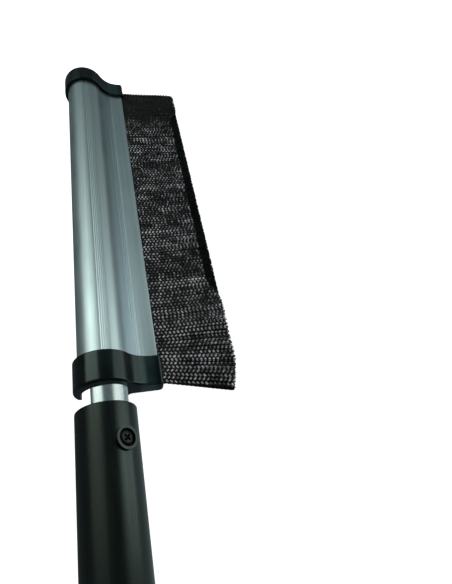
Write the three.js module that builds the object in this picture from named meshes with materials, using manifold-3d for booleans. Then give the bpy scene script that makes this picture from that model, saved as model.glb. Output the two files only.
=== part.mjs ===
// Snow rake: a long brush head on a telescoping pole that slides and turns in a handle.
// Millimetres. Row frame: +X runs along the tool from the handle's butt to the head's far end,
// the bristles point towards -Y, and +Z is up. The origin is the centre of the flat butt end.

import * as THREE from 'three';
import * as BufferGeometryUtils from 'three/addons/utils/BufferGeometryUtils.js';
import Module from 'manifold-3d';

const wasm = await Module();
wasm.setup();

// ---------- driving dimensions ----------

const GAP = 0.3; // between pieces that touch

// handle
const HANDLE_LENGTH = 420;
const HANDLE_RADIUS = 18;
const MOUTH_ROUND = 1.2;
const BUTT_CAP_LENGTH = 27;
const BUTT_PLUG_DEPTH = 16;
const BUTT_RADIUS = 19.4;
const BUTT_FACE_RADIUS = 13;
const TAB_THICKNESS = 13;
const TAB_LENGTH = 19;
const HANG_HOLE_RADIUS = 5;
const HANG_HOLE_FROM_BUTT = 11;
const BUTT_SCREW_ALONG = BUTT_CAP_LENGTH + 9;
const BUTT_SCREW_RADIUS = 1.6;
const GRIP_START = 30;
const GRIP_END = 196;
const GRIP_RADIUS = 20;
const GRIP_SEAT_RADIUS = 17.3;
const GRIP_BANDS = 7;
const GRIP_BAND_DEPTH = 0.9;
const GRIP_BAND_HALF = 3;
const GRIP_TAPER = 4;

// pole, which lies a little nearer the bristles than the handle's own axis
const POLE_RADIUS = 11;
const POLE_WALL = 1.5;
const POLE_OFFSET = 2.6;
const POLE_INSIDE_HANDLE = 338;
const POLE_INSIDE_HEAD = 76;
const HANDLE_BORE_RADIUS = 13.1;
const PLUG_LENGTH = 12;
const PLUG_HEAD = 6;
const GLIDE_RING_LENGTH = 16;
const GLIDE_RING_FROM_END = 4;

// turning bush in the handle's mouth
const BUSH_LENGTH = 44;
const BUSH_RADIUS = 12.8;
const BUSH_RING_RADIUS = 13.6;
const BUSH_RING_FROM_MOUTH = 34;
const BUSH_RING_WIDTH = 4;
const BUSH_SLIT = 1.6;
const BUSH_SLIT_LENGTH = 30;

// lock screw and its boss
const BOSS_FROM_MOUTH = 21.8;
const BOSS_ANGLE = THREE.MathUtils.degToRad(32.5); // from straight up, towards the bristles
const BOSS_RADIUS = 6.6;
const BOSS_TOP = 19.6;
const RECESS_RADIUS = 5.1;
const RECESS_FLOOR = 16.7;
const INSERT_RADIUS = 3.4;
const INSERT_BORE = 2.3;
const INSERT_FOOT = 14.6;
const WASHER_FOOT = RECESS_FLOOR + 0.1;
const WASHER_THICKNESS = 0.6;
const SCREW_HEAD_RADIUS = 4.6;
const SCREW_SHANK_RADIUS = 2;
const SCREW_TIP = 15.3;
const CROSS_WIDTH = 1.1;
const CROSS_LENGTH = 5;
const CROSS_DEPTH = 1.3;
const PAD_RADIUS = 1.9;
const PAD_FOOT = 14.25;
const PAD_THICKNESS = 0.7;

// brush head
const NECK_LENGTH = 12;
const NEAR_CAP_LENGTH = 20;
const PROFILE_SHOWN = 288;
const FAR_CAP_LENGTH = 18.7;
const TUBE_RADIUS = 15.5;
const TUBE_WALL = 1.6;
const FLANGE_REACH = 34.5;
const FLANGE_TOP = 0.3;
const FLANGE_BOTTOM = -6.3;
const VALLEY_ROUND = 22.4;
const UNDERSIDE_ROUND = 5;
const EDGE_ROUND = 0.6;
const UPPER_CORNER_SHARE = 0.75; // a cap's corner rounding, as a share of how far it stands proud
const LOWER_CORNER_SHARE = 1.35;
const CAP_PROUD = 2.9;
const FLANGE_SHARE = 0.86; // how far a cap stands proud of the flange's faces, as a share
const END_SHARE = 0.6; // and of its end
const CAP_EDGE_ROUND = 1.8;
const SKIRT_CLEARANCE = 0.45; // the extrusion's ribs and facets need a little more than GAP
const CAP_PLATE = 2.7;
const HOOD_DEPTH = 12;
const HOOD_OPENING_RADIUS = 14.4;
const HOOD_OPENING_CENTRE = [0.2, -3.6];
const HOOK_TIP_HEIGHT = -8;
const HOOD_BLOCK_REACH = 14.3;
const HOOD_OPENING_START = Math.asin(0.27);
const HOOD_OPENING_DROP = (HOOD_OPENING_CENTRE[1] - HOOK_TIP_HEIGHT) / HOOD_OPENING_RADIUS;
const HOOD_OPENING_END = Math.PI + Math.asin(HOOD_OPENING_DROP);
const FAR_PLATE = 4.5;
const SPIGOT_LENGTH = 9;
const SCREW_PORT_REACH = 21;
const SCREW_PORT_RADIUS = 1.8;
const SADDLE_SCREW_RADIUS = 1.9;
const SADDLE_HEAD_RADIUS = 3.4;
const SADDLE_SCREW_TIP = 8.2;
const CAP_SCREW_RADIUS = 1.4;
const CAP_SCREW_HEAD_RADIUS = 2.9;
const CAP_SCREW_LENGTH = 16;
const CAP_SCREW_SINK = 1.6;
const CAP_SCREW_SINK_RADIUS = 3.3;

// fine ribs along the extrusion
const CROWN_GROOVES = 5;
const CROWN_FROM = THREE.MathUtils.degToRad(70);
const CROWN_TO = THREE.MathUtils.degToRad(94);
const CROWN_GROOVE_DEPTH = 0.4;
const VALLEY_RIBS = 3;
const VALLEY_RIB_HEIGHT = 0.35;
const VALLEY_RIBS_FROM = THREE.MathUtils.degToRad(240);
const VALLEY_RIBS_TO = THREE.MathUtils.degToRad(254);

// brush strip
const STRIP_HEIGHT = (FLANGE_TOP + FLANGE_BOTTOM) / 2;
const SLOT_HALF = 1.8;
const SLOT_START = 27.6;
const CHANNEL_START = 27.9;
const CHANNEL_END = 34.2;
const CHANNEL_HALF = 1.5;
const CHANNEL_WALL = 0.5;
const STRIP_NEAR_MARGIN = 1.8;
const STRIP_FAR_MARGIN = 7.6;
const CORE_WIRE_RADIUS = 0.55;
const CORE_WIRE_REACH = 29.3;
const BRISTLE_ROOT_REACH = 30.3;
const BRISTLE_TIP_REACH = 87;
const BRISTLE_ROOT_HALF = 0.7;
const BRISTLE_TIP_HALF = 4.6;
const BRISTLE_FLARE = 12;
const BRISTLE_BLOCKS = 8;
const BRISTLE_FAN = 10;

// ---------- places worked out from them ----------

const BOSS_ALONG = HANDLE_LENGTH - BOSS_FROM_MOUTH;
const HEAD_START = HANDLE_LENGTH + NECK_LENGTH;
const PROFILE_START = HOOD_DEPTH + CAP_PLATE + GAP;
const FAR_CAP_START = NEAR_CAP_LENGTH + PROFILE_SHOWN;
const HEAD_LENGTH = FAR_CAP_START + FAR_CAP_LENGTH;
const PROFILE_END = HEAD_LENGTH - FAR_PLATE - GAP;
const POLE_START = -NECK_LENGTH - POLE_INSIDE_HANDLE;
const STRIP_START = STRIP_NEAR_MARGIN;
const STRIP_END = HEAD_LENGTH - STRIP_FAR_MARGIN;
const SADDLE_SCREWS = [14, 40].map((fromProfile) => PROFILE_START + fromProfile);

// ---------- materials ----------

function material(color, roughness, metalness) {
  return new THREE.MeshStandardMaterial({ color, roughness, metalness });
}

const anodised = material(0xa9b6b4, 0.32, 1);
const glossBlack = material(0x0c0f0f, 0.15, 0);
const satinBlack = material(0x1b1f1e, 0.42, 0);
const softBlack = material(0x161616, 0.85, 0);
const whiteNylon = material(0xd8d6cf, 0.5, 0);
const blackSteel = material(0x151515, 0.35, 0.8);
const zincSteel = material(0xb8bcc0, 0.35, 1);
const brass = material(0xb8923f, 0.35, 1);
const bristle = material(0x1d1816, 0.6, 0);

// ---------- helpers: solids ----------

function toSolid(geometry) {
  const bare = geometry.index ? geometry.toNonIndexed() : geometry.clone();
  bare.deleteAttribute('normal');
  bare.deleteAttribute('uv');
  const merged = BufferGeometryUtils.mergeVertices(bare, 1e-4);
  const mesh = new wasm.Mesh({
    numProp: 3,
    vertProperties: new Float32Array(merged.attributes.position.array),
    triVerts: new Uint32Array(merged.index.array),
  });
  return new wasm.Manifold(mesh);
}

function toGeometry(solid) {
  const mesh = solid.getMesh();
  const geometry = new THREE.BufferGeometry();
  geometry.setAttribute('position', new THREE.BufferAttribute(new Float32Array(mesh.vertProperties), 3));
  geometry.setIndex(new THREE.BufferAttribute(new Uint32Array(mesh.triVerts), 1));
  geometry.computeVertexNormals();
  return geometry;
}

// Section points are [reach towards the bristles, rise]; +X of the model's section plane is row +Y.
function sectionShape(points) {
  return new THREE.Shape(points.map(([reach, rise]) => new THREE.Vector2(-reach, rise)));
}

function extruded(points, from, to) {
  const geometry = new THREE.ExtrudeGeometry(sectionShape(points), { depth: to - from, bevelEnabled: false });
  return toSolid(geometry.translate(0, 0, from));
}

function extrudedRounded(points, from, to, round) {
  const geometry = new THREE.ExtrudeGeometry(sectionShape(points), {
    depth: to - from - 2 * round,
    bevelThickness: round,
    bevelSize: round,
    bevelOffset: -round,
    bevelSegments: 3,
  });
  return toSolid(geometry.translate(0, 0, from + round));
}

// A turned solid along the tool; the outline is [radius, place along the tool].
function turned(outline, segments, reach = 0) {
  const points = outline.map(([radius, along]) => new THREE.Vector2(radius, along));
  const geometry = new THREE.LatheGeometry(points, segments);
  return toSolid(geometry.rotateX(Math.PI / 2).translate(-reach, 0, 0));
}

function rod(radius, from, to, segments, reach = 0, rise = 0) {
  const geometry = new THREE.CylinderGeometry(radius, radius, to - from, segments);
  return toSolid(geometry.rotateX(Math.PI / 2).translate(-reach, rise, (from + to) / 2));
}

function block(size, centre) {
  return toSolid(new THREE.BoxGeometry(...size).translate(...centre));
}

// A solid of revolution about a line square to the tool, from the tool's axis outwards.
function radial(outline, segments, angle = 0, along = 0) {
  const points = outline.map(([radius, out]) => new THREE.Vector2(radius, out));
  const geometry = new THREE.LatheGeometry(points, segments);
  return toSolid(geometry.rotateZ(angle).translate(0, 0, along));
}

function disc(radius, from, to) {
  return [[0, from], [radius, from], [radius, to], [0, to]];
}

function arc(centre, radius, start, end, steps) {
  return Array.from({ length: steps + 1 }, (_, i) => {
    const angle = start + ((end - start) * i) / steps;
    return [centre[0] + radius * Math.cos(angle), centre[1] + radius * Math.sin(angle)];
  });
}

// ---------- helper: the head's S-shaped outline ----------

// The outline of the extrusion, or of a cap standing proud of it all round.
function headOutline(proud, withRibs = false) {
  const tube = TUBE_RADIUS + proud;
  const top = FLANGE_TOP + proud * FLANGE_SHARE;
  const bottom = FLANGE_BOTTOM - proud * FLANGE_SHARE;
  const end = FLANGE_REACH + proud * END_SHARE;
  const valley = VALLEY_ROUND - proud;
  const under = UNDERSIDE_ROUND - proud;
  const valleyCentre = filletCentre(tube, valley, top + valley);
  const underCentre = filletCentre(tube, under, bottom - under);
  const valleyAngle = Math.atan2(valleyCentre[1], valleyCentre[0]);
  const underAngle = Math.atan2(underCentre[1], underCentre[0]);
  const upper = Math.max(EDGE_ROUND, proud * UPPER_CORNER_SHARE);
  const lower = Math.max(EDGE_ROUND, proud * LOWER_CORNER_SHARE);

  const belly = arc([0, 0], tube, Math.PI, 2 * Math.PI + underAngle, 16).slice(1);
  const underside = arc(underCentre, under, Math.PI + underAngle, Math.PI / 2, 4).slice(1);
  const lowerCorner = arc([end - lower, bottom + lower], lower, -Math.PI / 2, 0, 3);
  const upperCorner = arc([end - upper, top - upper], upper, 0, Math.PI / 2, 3);
  return [
    ...(withRibs ? groovedCrown(tube, valleyAngle) : arc([0, 0], tube, valleyAngle, Math.PI, 21)),
    ...belly,
    ...underside,
    ...lowerCorner,
    ...upperCorner,
    ...valleySlope(valleyCentre, valley, Math.PI + valleyAngle, withRibs),
  ];
}

// Where a fillet's centre lies: at that height, touching the tube from outside.
function filletCentre(tube, fillet, height) {
  return [Math.sqrt((tube + fillet) ** 2 - height ** 2), height];
}

function groovedCrown(tube, valleyAngle) {
  const steps = CROWN_GROOVES * 2;
  const grooves = Array.from({ length: steps - 1 }, (_, i) => {
    const angle = CROWN_FROM + ((CROWN_TO - CROWN_FROM) * (i + 1)) / steps;
    const radius = tube - (i % 2 === 0 ? CROWN_GROOVE_DEPTH : 0);
    return [radius * Math.cos(angle), radius * Math.sin(angle)];
  });
  const before = arc([0, 0], tube, valleyAngle, CROWN_FROM, 6);
  const after = arc([0, 0], tube, CROWN_TO, Math.PI, 11);
  return [...before, ...grooves, ...after];
}

// The hollow between tube and flange, from the flange's top back up to the tube.
function valleySlope(centre, valley, end, withRibs) {
  const flat = 1.5 * Math.PI;
  if (!withRibs) return arc(centre, valley, flat, end, 8).slice(0, -1);
  const steps = VALLEY_RIBS * 2;
  const ribs = Array.from({ length: steps + 1 }, (_, i) => {
    const angle = VALLEY_RIBS_TO + ((VALLEY_RIBS_FROM - VALLEY_RIBS_TO) * i) / steps;
    const radius = valley - (i % 2 === 1 ? VALLEY_RIB_HEIGHT : 0);
    return [centre[0] + radius * Math.cos(angle), centre[1] + radius * Math.sin(angle)];
  });
  const foot = arc(centre, valley, flat, VALLEY_RIBS_TO, 3).slice(0, -1);
  const rise = arc(centre, valley, VALLEY_RIBS_FROM, end, 4).slice(1, -1);
  return [...foot, ...ribs, ...rise];
}

// ---------- handle ----------

function makeHandleShell() {
  const outer = turned([
    [0, BUTT_CAP_LENGTH + GAP],
    [GRIP_SEAT_RADIUS, BUTT_CAP_LENGTH + GAP],
    [GRIP_SEAT_RADIUS, GRIP_END + GAP],
    [HANDLE_RADIUS, GRIP_END + GAP],
    ...arc([HANDLE_RADIUS - MOUTH_ROUND, HANDLE_LENGTH - MOUTH_ROUND], MOUTH_ROUND, 0, Math.PI / 2, 4),
    [0, HANDLE_LENGTH],
  ], 48);
  const boss = radial(disc(BOSS_RADIUS, HANDLE_BORE_RADIUS, BOSS_TOP), 24, BOSS_ANGLE, BOSS_ALONG);
  const bore = rod(HANDLE_BORE_RADIUS, 0, HANDLE_LENGTH + 1, 36, POLE_OFFSET);
  const ringFrom = HANDLE_LENGTH - BUSH_RING_FROM_MOUTH - GAP;
  const groove = rod(BUSH_RING_RADIUS + GAP, ringFrom, ringFrom + BUSH_RING_WIDTH + 2 * GAP, 36, POLE_OFFSET);
  const recess = radial(disc(RECESS_RADIUS, RECESS_FLOOR, BOSS_TOP + 1), 24, BOSS_ANGLE, BOSS_ALONG);
  const insertOutline = disc(INSERT_RADIUS + GAP, PAD_FOOT - 3, RECESS_FLOOR + 0.1);
  const insertHole = radial(insertOutline, 20, BOSS_ANGLE, BOSS_ALONG);
  const screwHole = radial(disc(BUTT_SCREW_RADIUS + GAP, 5, 30), 12, Math.PI, BUTT_SCREW_ALONG);
  const bossed = outer.add(boss).subtract(bore).subtract(groove);
  return bossed.subtract(recess).subtract(insertHole).subtract(screwHole);
}

function makeHandGrip() {
  const pitch = (GRIP_END - GRIP_START) / GRIP_BANDS;
  const inner = GRIP_SEAT_RADIUS + GAP;
  const bottom = GRIP_RADIUS - GRIP_BAND_DEPTH;
  const middles = Array.from({ length: GRIP_BANDS - 1 }, (_, i) => GRIP_START + (i + 1) * pitch);
  const bands = middles.flatMap((middle) => [
    [GRIP_RADIUS, middle - GRIP_BAND_HALF],
    [bottom, middle - GRIP_BAND_HALF + 1],
    [bottom, middle + GRIP_BAND_HALF - 1],
    [GRIP_RADIUS, middle + GRIP_BAND_HALF],
  ]);
  return turned([
    [inner, GRIP_START],
    [GRIP_RADIUS - 1, GRIP_START],
    [GRIP_RADIUS, GRIP_START + 2],
    ...bands,
    [GRIP_RADIUS, GRIP_END - GRIP_TAPER],
    [HANDLE_RADIUS + 0.4, GRIP_END],
    [inner, GRIP_END],
    [inner, GRIP_START],
  ], 36);
}

function makeButtCap() {
  const round = BUTT_RADIUS - BUTT_FACE_RADIUS;
  const body = turned([
    [0, 0],
    [BUTT_FACE_RADIUS, 0],
    ...arc([BUTT_FACE_RADIUS, round], round, -Math.PI / 2, 0, 5).slice(1),
    [BUTT_RADIUS, BUTT_CAP_LENGTH],
    [0, BUTT_CAP_LENGTH],
  ], 36);
  const plugEnd = BUTT_CAP_LENGTH + BUTT_PLUG_DEPTH;
  const plug = rod(HANDLE_BORE_RADIUS - GAP, BUTT_CAP_LENGTH - 1, plugEnd, 36, POLE_OFFSET);
  const depth = BUTT_RADIUS;
  const size = [3 * BUTT_RADIUS, depth, TAB_LENGTH + 1];
  const above = block(size, [0, (depth + TAB_THICKNESS) / 2, (TAB_LENGTH - 1) / 2]);
  const below = block(size, [0, -(depth + TAB_THICKNESS) / 2, (TAB_LENGTH - 1) / 2]);
  const hangHole = radial(disc(HANG_HOLE_RADIUS, -30, 30), 28, 0, HANG_HOLE_FROM_BUTT);
  const screwHole = radial(disc(BUTT_SCREW_RADIUS + GAP, 6, 30), 12, Math.PI, BUTT_SCREW_ALONG);
  return body.add(plug).subtract(above).subtract(below).subtract(hangHole).subtract(screwHole);
}

// A countersunk screw pointing at the tool's axis from below.
function makeButtScrew() {
  const head = GRIP_SEAT_RADIUS - 0.4;
  const outline = [[0, 7], [BUTT_SCREW_RADIUS, 8], [BUTT_SCREW_RADIUS, head], [0, head]];
  return radial(outline, 12, Math.PI, BUTT_SCREW_ALONG);
}

// ---------- lock screw ----------

function makeThreadedInsert() {
  const outline = [
    [INSERT_BORE, INSERT_FOOT],
    [INSERT_RADIUS, INSERT_FOOT],
    [INSERT_RADIUS, RECESS_FLOOR - 0.2],
    [INSERT_BORE, RECESS_FLOOR - 0.2],
    [INSERT_BORE, INSERT_FOOT],
  ];
  return radial(outline, 20);
}

function makePressurePad() {
  return radial(disc(PAD_RADIUS, PAD_FOOT, PAD_FOOT + PAD_THICKNESS), 16);
}

function makeSpringWasher() {
  const top = WASHER_FOOT + WASHER_THICKNESS;
  const hole = SCREW_SHANK_RADIUS + 0.4;
  return radial([
    [hole, WASHER_FOOT],
    [SCREW_HEAD_RADIUS, WASHER_FOOT],
    [SCREW_HEAD_RADIUS, top],
    [hole, top],
    [hole, WASHER_FOOT],
  ], 20);
}

function makeLockScrew() {
  const seat = WASHER_FOOT + WASHER_THICKNESS + 0.1;
  const top = BOSS_TOP - 0.2;
  const body = radial([
    [0, SCREW_TIP],
    [SCREW_SHANK_RADIUS, SCREW_TIP],
    [SCREW_SHANK_RADIUS, seat],
    [SCREW_HEAD_RADIUS, seat],
    [SCREW_HEAD_RADIUS, top - 1],
    [SCREW_HEAD_RADIUS * 0.8, top - 0.35],
    [SCREW_HEAD_RADIUS * 0.45, top],
    [0, top],
  ], 28);
  const slot = block([CROSS_LENGTH, CROSS_DEPTH * 2, CROSS_WIDTH], [0, top, 0]);
  const crossSlot = block([CROSS_WIDTH, CROSS_DEPTH * 2, CROSS_LENGTH], [0, top, 0]);
  return body.subtract(slot).subtract(crossSlot);
}

// ---------- pole ----------

function saddleScrewHoles(solid) {
  const hole = disc(SADDLE_SCREW_RADIUS + GAP, 5, 30);
  return SADDLE_SCREWS.reduce((left, along) => left.subtract(radial(hole, 12, Math.PI, along)), solid);
}

function makeGuideBush() {
  const start = HANDLE_LENGTH - BUSH_LENGTH;
  const ringStart = HANDLE_LENGTH - BUSH_RING_FROM_MOUTH;
  const sleeve = rod(BUSH_RADIUS, start, HANDLE_LENGTH - 0.5, 36, POLE_OFFSET);
  const ring = rod(BUSH_RING_RADIUS, ringStart, ringStart + BUSH_RING_WIDTH, 36, POLE_OFFSET);
  const bore = rod(POLE_RADIUS + GAP, start - 1, HANDLE_LENGTH + 1, 36, POLE_OFFSET);
  const slitMiddle = HANDLE_LENGTH - BUSH_SLIT_LENGTH / 2 + 1;
  const slit = block([BUSH_SLIT, 20, BUSH_SLIT_LENGTH], [-POLE_OFFSET, -12, slitMiddle]);
  return sleeve.add(ring).subtract(bore).subtract(slit);
}

function makePoleTube() {
  const outer = rod(POLE_RADIUS, POLE_START, POLE_INSIDE_HEAD, 48, POLE_OFFSET);
  const bore = rod(POLE_RADIUS - POLE_WALL, POLE_START - 1, POLE_INSIDE_HEAD + 1, 36, POLE_OFFSET);
  return saddleScrewHoles(outer.subtract(bore));
}

function makePolePlug() {
  const inner = POLE_RADIUS - POLE_WALL - GAP;
  const foot = POLE_START - PLUG_HEAD;
  const shoulder = POLE_START - GAP;
  const end = POLE_START + PLUG_LENGTH;
  return turned([
    [0, foot],
    [POLE_RADIUS, foot],
    [POLE_RADIUS, shoulder],
    [inner, shoulder],
    [inner, end],
    [0, end],
  ], 36, POLE_OFFSET);
}

function makeGlideRing() {
  const start = POLE_START + GLIDE_RING_FROM_END;
  const end = start + GLIDE_RING_LENGTH;
  const bore = rod(POLE_RADIUS + GAP, start - 1, end + 1, 36, POLE_OFFSET);
  return rod(HANDLE_BORE_RADIUS - GAP, start, end, 36, POLE_OFFSET).subtract(bore);
}

function makePoleSaddle() {
  const start = PROFILE_START + 2;
  const end = POLE_INSIDE_HEAD;
  const outer = rod(TUBE_RADIUS - TUBE_WALL - GAP, start, end, 40);
  const bore = rod(POLE_RADIUS + GAP, start - 1, end + 1, 40, POLE_OFFSET);
  const openSide = block([20, 60, end], [-18, 0, end / 2 + start - 1]);
  return saddleScrewHoles(outer.subtract(bore).subtract(openSide));
}

function makeSaddleScrew(along) {
  const seat = TUBE_RADIUS + GAP;
  return radial([
    [0, SADDLE_SCREW_TIP],
    [SADDLE_SCREW_RADIUS, SADDLE_SCREW_TIP + 0.8],
    [SADDLE_SCREW_RADIUS, seat],
    [SADDLE_HEAD_RADIUS, seat],
    [SADDLE_HEAD_RADIUS - 0.4, seat + 1.3],
    [0, seat + 1.6],
  ], 16, Math.PI, along);
}

// ---------- head ----------

function boxSlot(reachFrom, reachTo, rise, half, from, to) {
  const middle = [-(reachFrom + reachTo) / 2, rise, (from + to) / 2];
  return block([reachTo - reachFrom, 2 * half, to - from], middle);
}

function makeHeadProfile() {
  const solid = extruded(headOutline(0, true), PROFILE_START, PROFILE_END);
  const bore = rod(TUBE_RADIUS - TUBE_WALL, 0, HEAD_LENGTH, 44);
  const port = rod(SCREW_PORT_RADIUS, 0, HEAD_LENGTH, 12, SCREW_PORT_REACH, STRIP_HEIGHT);
  const slot = boxSlot(SLOT_START, FLANGE_REACH + 2, STRIP_HEIGHT, SLOT_HALF, 0, HEAD_LENGTH);
  return saddleScrewHoles(solid.subtract(bore).subtract(port).subtract(slot));
}

function makeNearCap() {
  const rounded = extrudedRounded(headOutline(CAP_PROUD), 0, NEAR_CAP_LENGTH + 10, CAP_EDGE_ROUND);
  const length = block([120, 120, NEAR_CAP_LENGTH], [0, 0, NEAR_CAP_LENGTH / 2]);
  const skirt = extruded(headOutline(SKIRT_CLEARANCE), HOOD_DEPTH + CAP_PLATE, NEAR_CAP_LENGTH + 1);
  const collar = rod(POLE_RADIUS + GAP, -1, NEAR_CAP_LENGTH, 44, POLE_OFFSET);
  const opening = extruded([
    ...arc(HOOD_OPENING_CENTRE, HOOD_OPENING_RADIUS, HOOD_OPENING_START, HOOD_OPENING_END, 16),
    [-25, HOOK_TIP_HEIGHT],
    [-25, -25],
    [HOOD_BLOCK_REACH, -25],
  ], -1, HOOD_DEPTH);
  const slot = boxSlot(SLOT_START, 45, STRIP_HEIGHT, SLOT_HALF, STRIP_NEAR_MARGIN - GAP, NEAR_CAP_LENGTH + 1);
  return rounded.intersect(length).subtract(skirt).subtract(collar).subtract(opening).subtract(slot);
}

function makeFarCap() {
  const start = FAR_CAP_START;
  const rounded = extrudedRounded(headOutline(CAP_PROUD), start - 10, HEAD_LENGTH, CAP_EDGE_ROUND);
  const length = block([120, 120, FAR_CAP_LENGTH], [0, 0, start + FAR_CAP_LENGTH / 2]);
  const skirt = extruded(headOutline(SKIRT_CLEARANCE), start - 1, HEAD_LENGTH - FAR_PLATE);
  const spigotEnd = HEAD_LENGTH - FAR_PLATE;
  const spigot = rod(TUBE_RADIUS - TUBE_WALL - GAP, spigotEnd - SPIGOT_LENGTH, spigotEnd + 1, 40);
  const hollow = rod(TUBE_RADIUS - TUBE_WALL - 3, spigotEnd - SPIGOT_LENGTH - 1, spigotEnd - 1, 32);
  const slot = boxSlot(SLOT_START, 45, STRIP_HEIGHT, SLOT_HALF, start - 1, STRIP_END + GAP);
  const screwHole = rod(SCREW_PORT_RADIUS, start, HEAD_LENGTH + 1, 12, SCREW_PORT_REACH, STRIP_HEIGHT);
  const sinkFloor = HEAD_LENGTH - CAP_SCREW_SINK;
  const sink = rod(CAP_SCREW_SINK_RADIUS, sinkFloor, HEAD_LENGTH + 1, 20, SCREW_PORT_REACH, STRIP_HEIGHT);
  const plugged = rounded.intersect(length).subtract(skirt).add(spigot.subtract(hollow));
  return plugged.subtract(slot).subtract(screwHole).subtract(sink);
}

function makeFarCapScrew() {
  const seat = HEAD_LENGTH - CAP_SCREW_SINK + 0.1;
  return turned([
    [0, seat - CAP_SCREW_LENGTH],
    [CAP_SCREW_RADIUS, seat - CAP_SCREW_LENGTH + 1],
    [CAP_SCREW_RADIUS, seat],
    [CAP_SCREW_HEAD_RADIUS, seat],
    [CAP_SCREW_HEAD_RADIUS, seat + 0.8],
    [0, seat + 1.4],
  ], 20, SCREW_PORT_REACH);
}

function makeBrushChannel() {
  const inner = CHANNEL_HALF - CHANNEL_WALL;
  const points = [
    [CHANNEL_END, -CHANNEL_HALF],
    [CHANNEL_END, -inner],
    [CHANNEL_START + CHANNEL_WALL, -inner],
    [CHANNEL_START + CHANNEL_WALL, inner],
    [CHANNEL_END, inner],
    [CHANNEL_END, CHANNEL_HALF],
    [CHANNEL_START, CHANNEL_HALF],
    [CHANNEL_START, -CHANNEL_HALF],
  ].map(([reach, rise]) => [reach, rise + STRIP_HEIGHT]);
  return extruded(points, STRIP_START, STRIP_END);
}

function makeCoreWire() {
  return rod(CORE_WIRE_RADIUS, STRIP_START, STRIP_END, 10, CORE_WIRE_REACH, STRIP_HEIGHT);
}

// One stretch of the bristles: a thin root held in the channel, then a body that thickens to the tips.
// The stretch at the near end fans out towards the handle.
function makeBristles(index) {
  const pitch = (STRIP_END - STRIP_START) / BRISTLE_BLOCKS;
  const from = STRIP_START + index * pitch + GAP / 2;
  const to = from + pitch - GAP;
  const lip = FLANGE_REACH + CAP_PROUD;
  const side = [
    [lip, BRISTLE_ROOT_HALF],
    [lip + BRISTLE_FLARE, BRISTLE_TIP_HALF * 0.65],
    [BRISTLE_TIP_REACH, BRISTLE_TIP_HALF],
  ];
  const lower = side.map(([reach, half]) => [reach, STRIP_HEIGHT - half]);
  const upper = side.map(([reach, half]) => [reach, STRIP_HEIGHT + half]).reverse();
  const shape = sectionShape([...lower, ...upper]);
  const body = new THREE.ExtrudeGeometry(shape, { depth: to - from, bevelEnabled: false });
  body.translate(0, 0, from);
  if (index === 0) fanOut(body.attributes.position, (from + to) / 2, lip);
  const root = boxSlot(BRISTLE_ROOT_REACH, lip + 0.5, STRIP_HEIGHT, BRISTLE_ROOT_HALF, from, to);
  return toSolid(body).add(root);
}

function fanOut(position, middle, lip) {
  for (let i = 0; i < position.count; i += 1) {
    const spread = (-position.getX(i) - lip) / (BRISTLE_TIP_REACH - lip);
    if (position.getZ(i) < middle) position.setZ(i, position.getZ(i) - BRISTLE_FAN * spread);
  }
}

// ---------- assembly ----------

// Inside this group X is row +Y, Y is row +Z and Z runs along the tool, row +X.
const tool = new THREE.Group();
tool.applyMatrix4(new THREE.Matrix4().makeBasis(
  new THREE.Vector3(0, 1, 0), new THREE.Vector3(0, 0, 1), new THREE.Vector3(1, 0, 0)));

// The lock screw's pieces stand on the tool's axis and point out through the boss.
const lock = new THREE.Group();
lock.position.z = BOSS_ALONG;
lock.rotation.z = BOSS_ANGLE;
tool.add(lock);

// The pole and the brush head, measured from the near face of the near cap.
const head = new THREE.Group();
head.position.z = HEAD_START;
tool.add(head);

function addPiece(group, name, solid, finish) {
  const mesh = new THREE.Mesh(toGeometry(solid), finish);
  mesh.name = name;
  group.add(mesh);
  return mesh;
}

addPiece(tool, 'handle_shell', makeHandleShell(), satinBlack);
addPiece(tool, 'hand_grip', makeHandGrip(), softBlack);
addPiece(tool, 'butt_cap', makeButtCap(), satinBlack);
addPiece(tool, 'butt_screw', makeButtScrew(), blackSteel);
addPiece(tool, 'guide_bush', makeGuideBush(), satinBlack);

addPiece(lock, 'threaded_insert', makeThreadedInsert(), brass);
addPiece(lock, 'pressure_pad', makePressurePad(), whiteNylon);
addPiece(lock, 'spring_washer', makeSpringWasher(), blackSteel);
addPiece(lock, 'lock_screw', makeLockScrew(), blackSteel);

addPiece(head, 'pole_tube', makePoleTube(), anodised);
addPiece(head, 'pole_plug', makePolePlug(), glossBlack);
addPiece(head, 'glide_ring', makeGlideRing(), whiteNylon);
addPiece(head, 'pole_saddle', makePoleSaddle(), whiteNylon);
SADDLE_SCREWS.forEach((along, i) => {
  addPiece(head, `saddle_screw_${i + 1}`, makeSaddleScrew(along), zincSteel);
});
addPiece(head, 'head_profile', makeHeadProfile(), anodised);
addPiece(head, 'near_cap', makeNearCap(), glossBlack);
addPiece(head, 'far_cap', makeFarCap(), glossBlack);
addPiece(head, 'far_cap_screw', makeFarCapScrew(), blackSteel).position.y = STRIP_HEIGHT;
addPiece(head, 'brush_channel', makeBrushChannel(), zincSteel);
addPiece(head, 'core_wire', makeCoreWire(), zincSteel);
for (let i = 0; i < BRISTLE_BLOCKS; i += 1) {
  addPiece(head, `bristles_${i + 1}`, makeBristles(i), bristle);
}

const model = new THREE.Group();
model.add(tool);
model.updateMatrixWorld(true);

export default model;
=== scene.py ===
import math

import bmesh
import bpy
import numpy as np
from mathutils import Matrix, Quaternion, Vector
from mathutils.geometry import tessellate_polygon


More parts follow.
